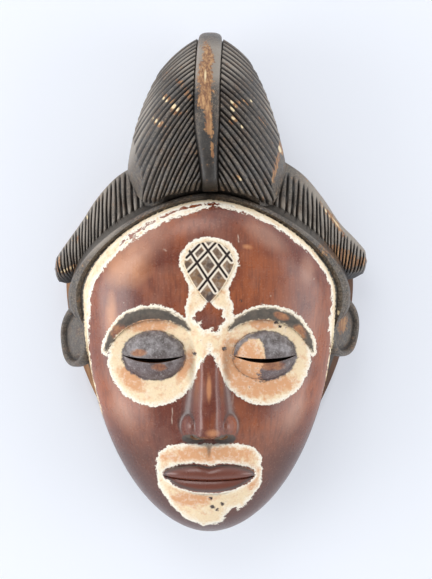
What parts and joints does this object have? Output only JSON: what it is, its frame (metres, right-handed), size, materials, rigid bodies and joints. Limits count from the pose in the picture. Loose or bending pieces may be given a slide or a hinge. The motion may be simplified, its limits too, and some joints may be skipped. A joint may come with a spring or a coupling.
{
  "type": "punu mask",
  "caption": "Carved wooden dance mask with a ridged crest of combed hair, side lobes, round ears, slit eyes and a hollow back.",
  "frame": {"origin": "middle of the mask's bounding box in X and Y, in the plane of the rear rim it lies on", "axes": "+Y from the chin to the top of the crest, +Z forward out of the face, +X across the face to the viewer's right"},
  "size_m": [0.2095, 0.3301, 0.1059],
  "materials": {
    "mask": "carved hardwood, stained and painted with kaolin and charcoal, worn and polished by handling"
  },
  "bodies": {
    "root": {"mask": "mask"}
  },
  "joints": []
}
